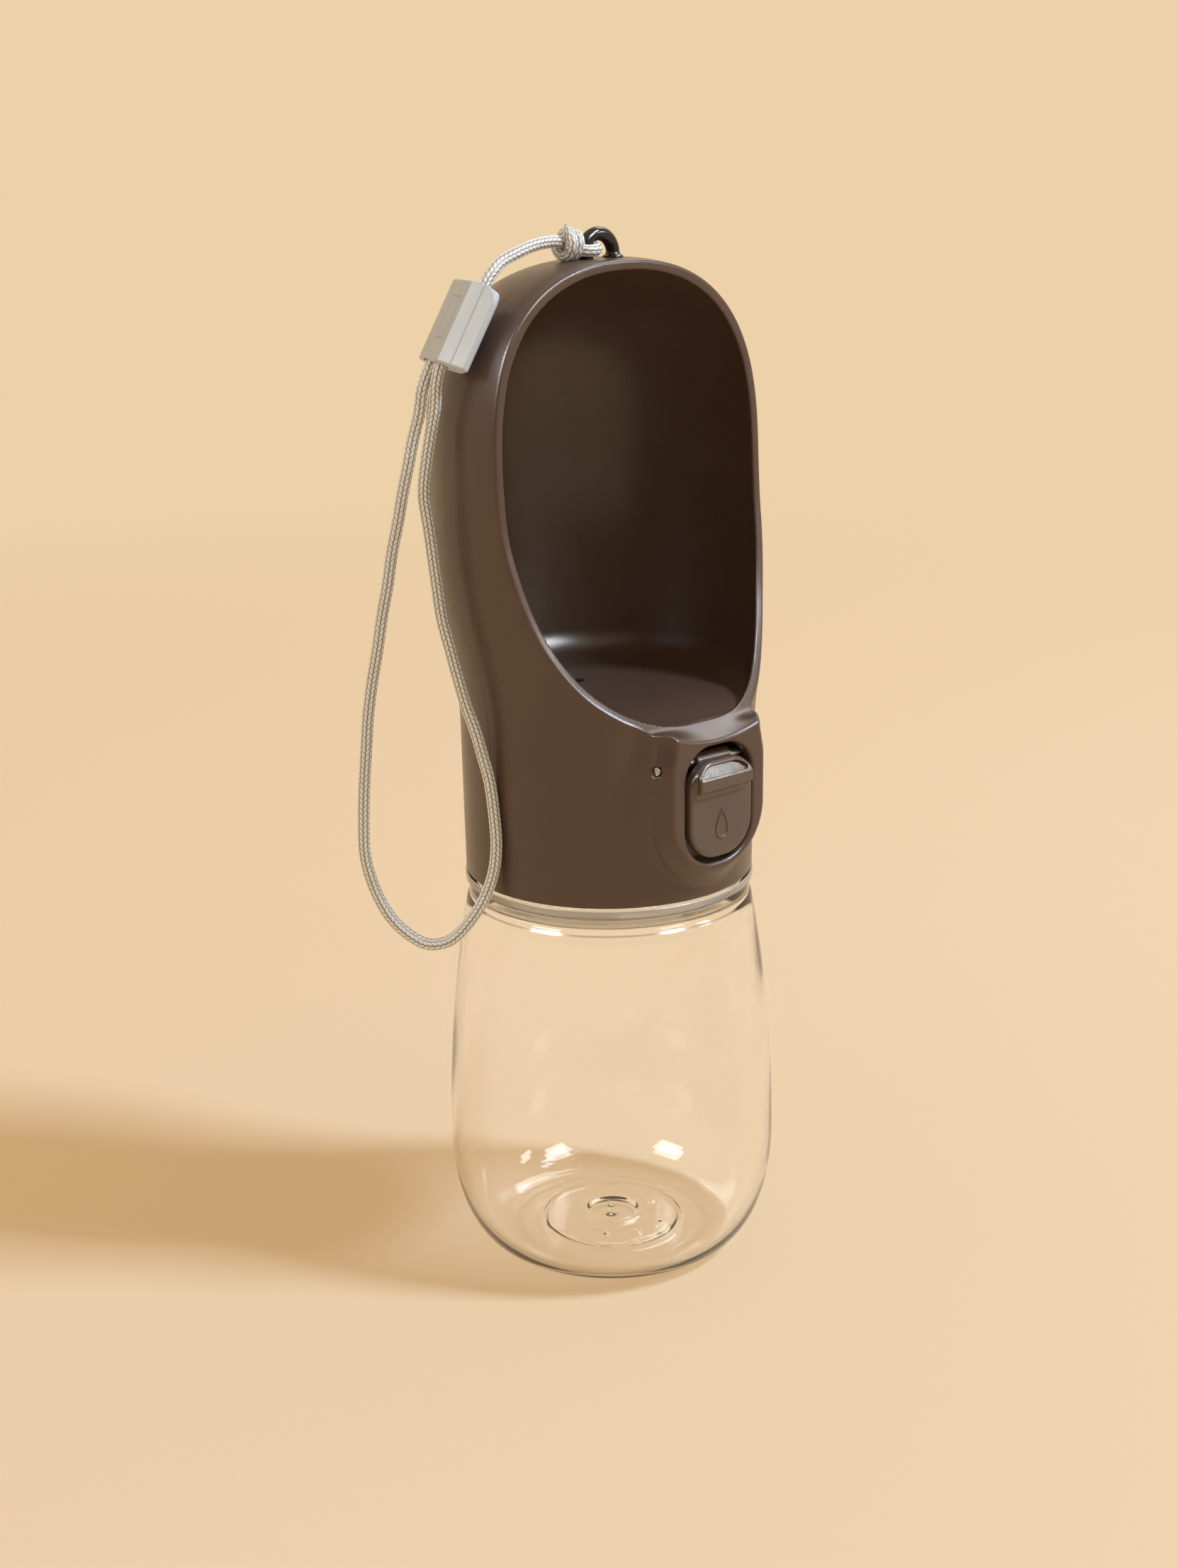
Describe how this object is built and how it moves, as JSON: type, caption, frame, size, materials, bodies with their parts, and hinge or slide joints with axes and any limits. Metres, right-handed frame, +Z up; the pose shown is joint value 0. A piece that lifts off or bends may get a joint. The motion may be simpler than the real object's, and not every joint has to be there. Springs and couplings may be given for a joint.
{
  "type": "dog travel water bottle",
  "caption": "Travel water bottle for dogs: a clear bottle screwed under a scoop-shaped drinking head with a press button valve and a braided wrist cord on a lug.",
  "frame": {"origin": "middle of the foot of the bottle, on the surface it stands on", "axes": "+Z up along the bottle's axis, -Y towards the scoop opening and the button, +X to the right of someone who faces along +Y"},
  "size_m": [0.0913, 0.074, 0.2236],
  "materials": {
    "clear_bottle": "clear, polished",
    "head_plastic": "satin with a fine spark texture",
    "button_plastic": "satin, a little glossier than the head",
    "inner_plastic": "natural white moulding",
    "silicone": "translucent silicone",
    "steel": "drawn stainless steel",
    "lug_plastic": "black, polished",
    "cord_braid": "braided polyester",
    "clip_plastic": "matte light grey"
  },
  "bodies": {
    "bottle": {"bottle": "clear_bottle"},
    "gasket": {"neck_gasket": "silicone"},
    "head": {"head_shell": "head_plastic", "neck_sleeve": "inner_plastic", "valve_plate": "inner_plastic", "plate_screws": "steel", "valve_body": "inner_plastic", "stem_gland": "inner_plastic", "stem_seal": "silicone", "inlet_seal": "silicone", "valve_spring": "steel", "valve_cap": "inner_plastic", "outlet_tube": "silicone", "rocker_pin": "steel", "lanyard_lug": "lug_plastic", "cord_knot": "cord_braid", "cord_lead": "cord_braid", "cord_clip": "clip_plastic", "cord_loop": "cord_braid"},
    "rocker": {"rocker": "head_plastic"},
    "button": {"button_cap": "button_plastic"},
    "valve": {"valve_stem": "steel", "valve_plug": "silicone"}
  },
  "joints": [
    {"name": "head_lift", "type": "slide", "parent": "bottle", "child": "gasket", "axis": [0, 0, 1], "range_m": [0, 0.008]},
    {"name": "head_turn", "type": "hinge", "parent": "gasket", "child": "head", "pos_m": [0, 0, 0.09], "axis": [0, 0, 1], "range_deg": [0, 720]},
    {"name": "press", "type": "hinge", "parent": "head", "child": "rocker", "pos_m": [0, -0.0313, 0.1177], "axis": [1, 0, 0], "range_deg": [0, 10]},
    {"name": "lock_slide", "type": "slide", "parent": "rocker", "child": "button", "axis": [0, 0, 1], "range_m": [0, 0.0025]},
    {"name": "valve_open", "type": "slide", "parent": "head", "child": "valve", "axis": [0, 1, 0], "range_m": [0, 0.00178], "stiffness_N_per_m": 100, "springref_m": -0.002, "deforming": ["valve_spring"]}
  ],
  "couplings": [
    {"joint": "head_lift", "follows": "head_turn", "m_per_rad": 0.00063662},
    {"joint": "press", "follows": "valve_open", "rad_per_m": 98.04}
  ]
}
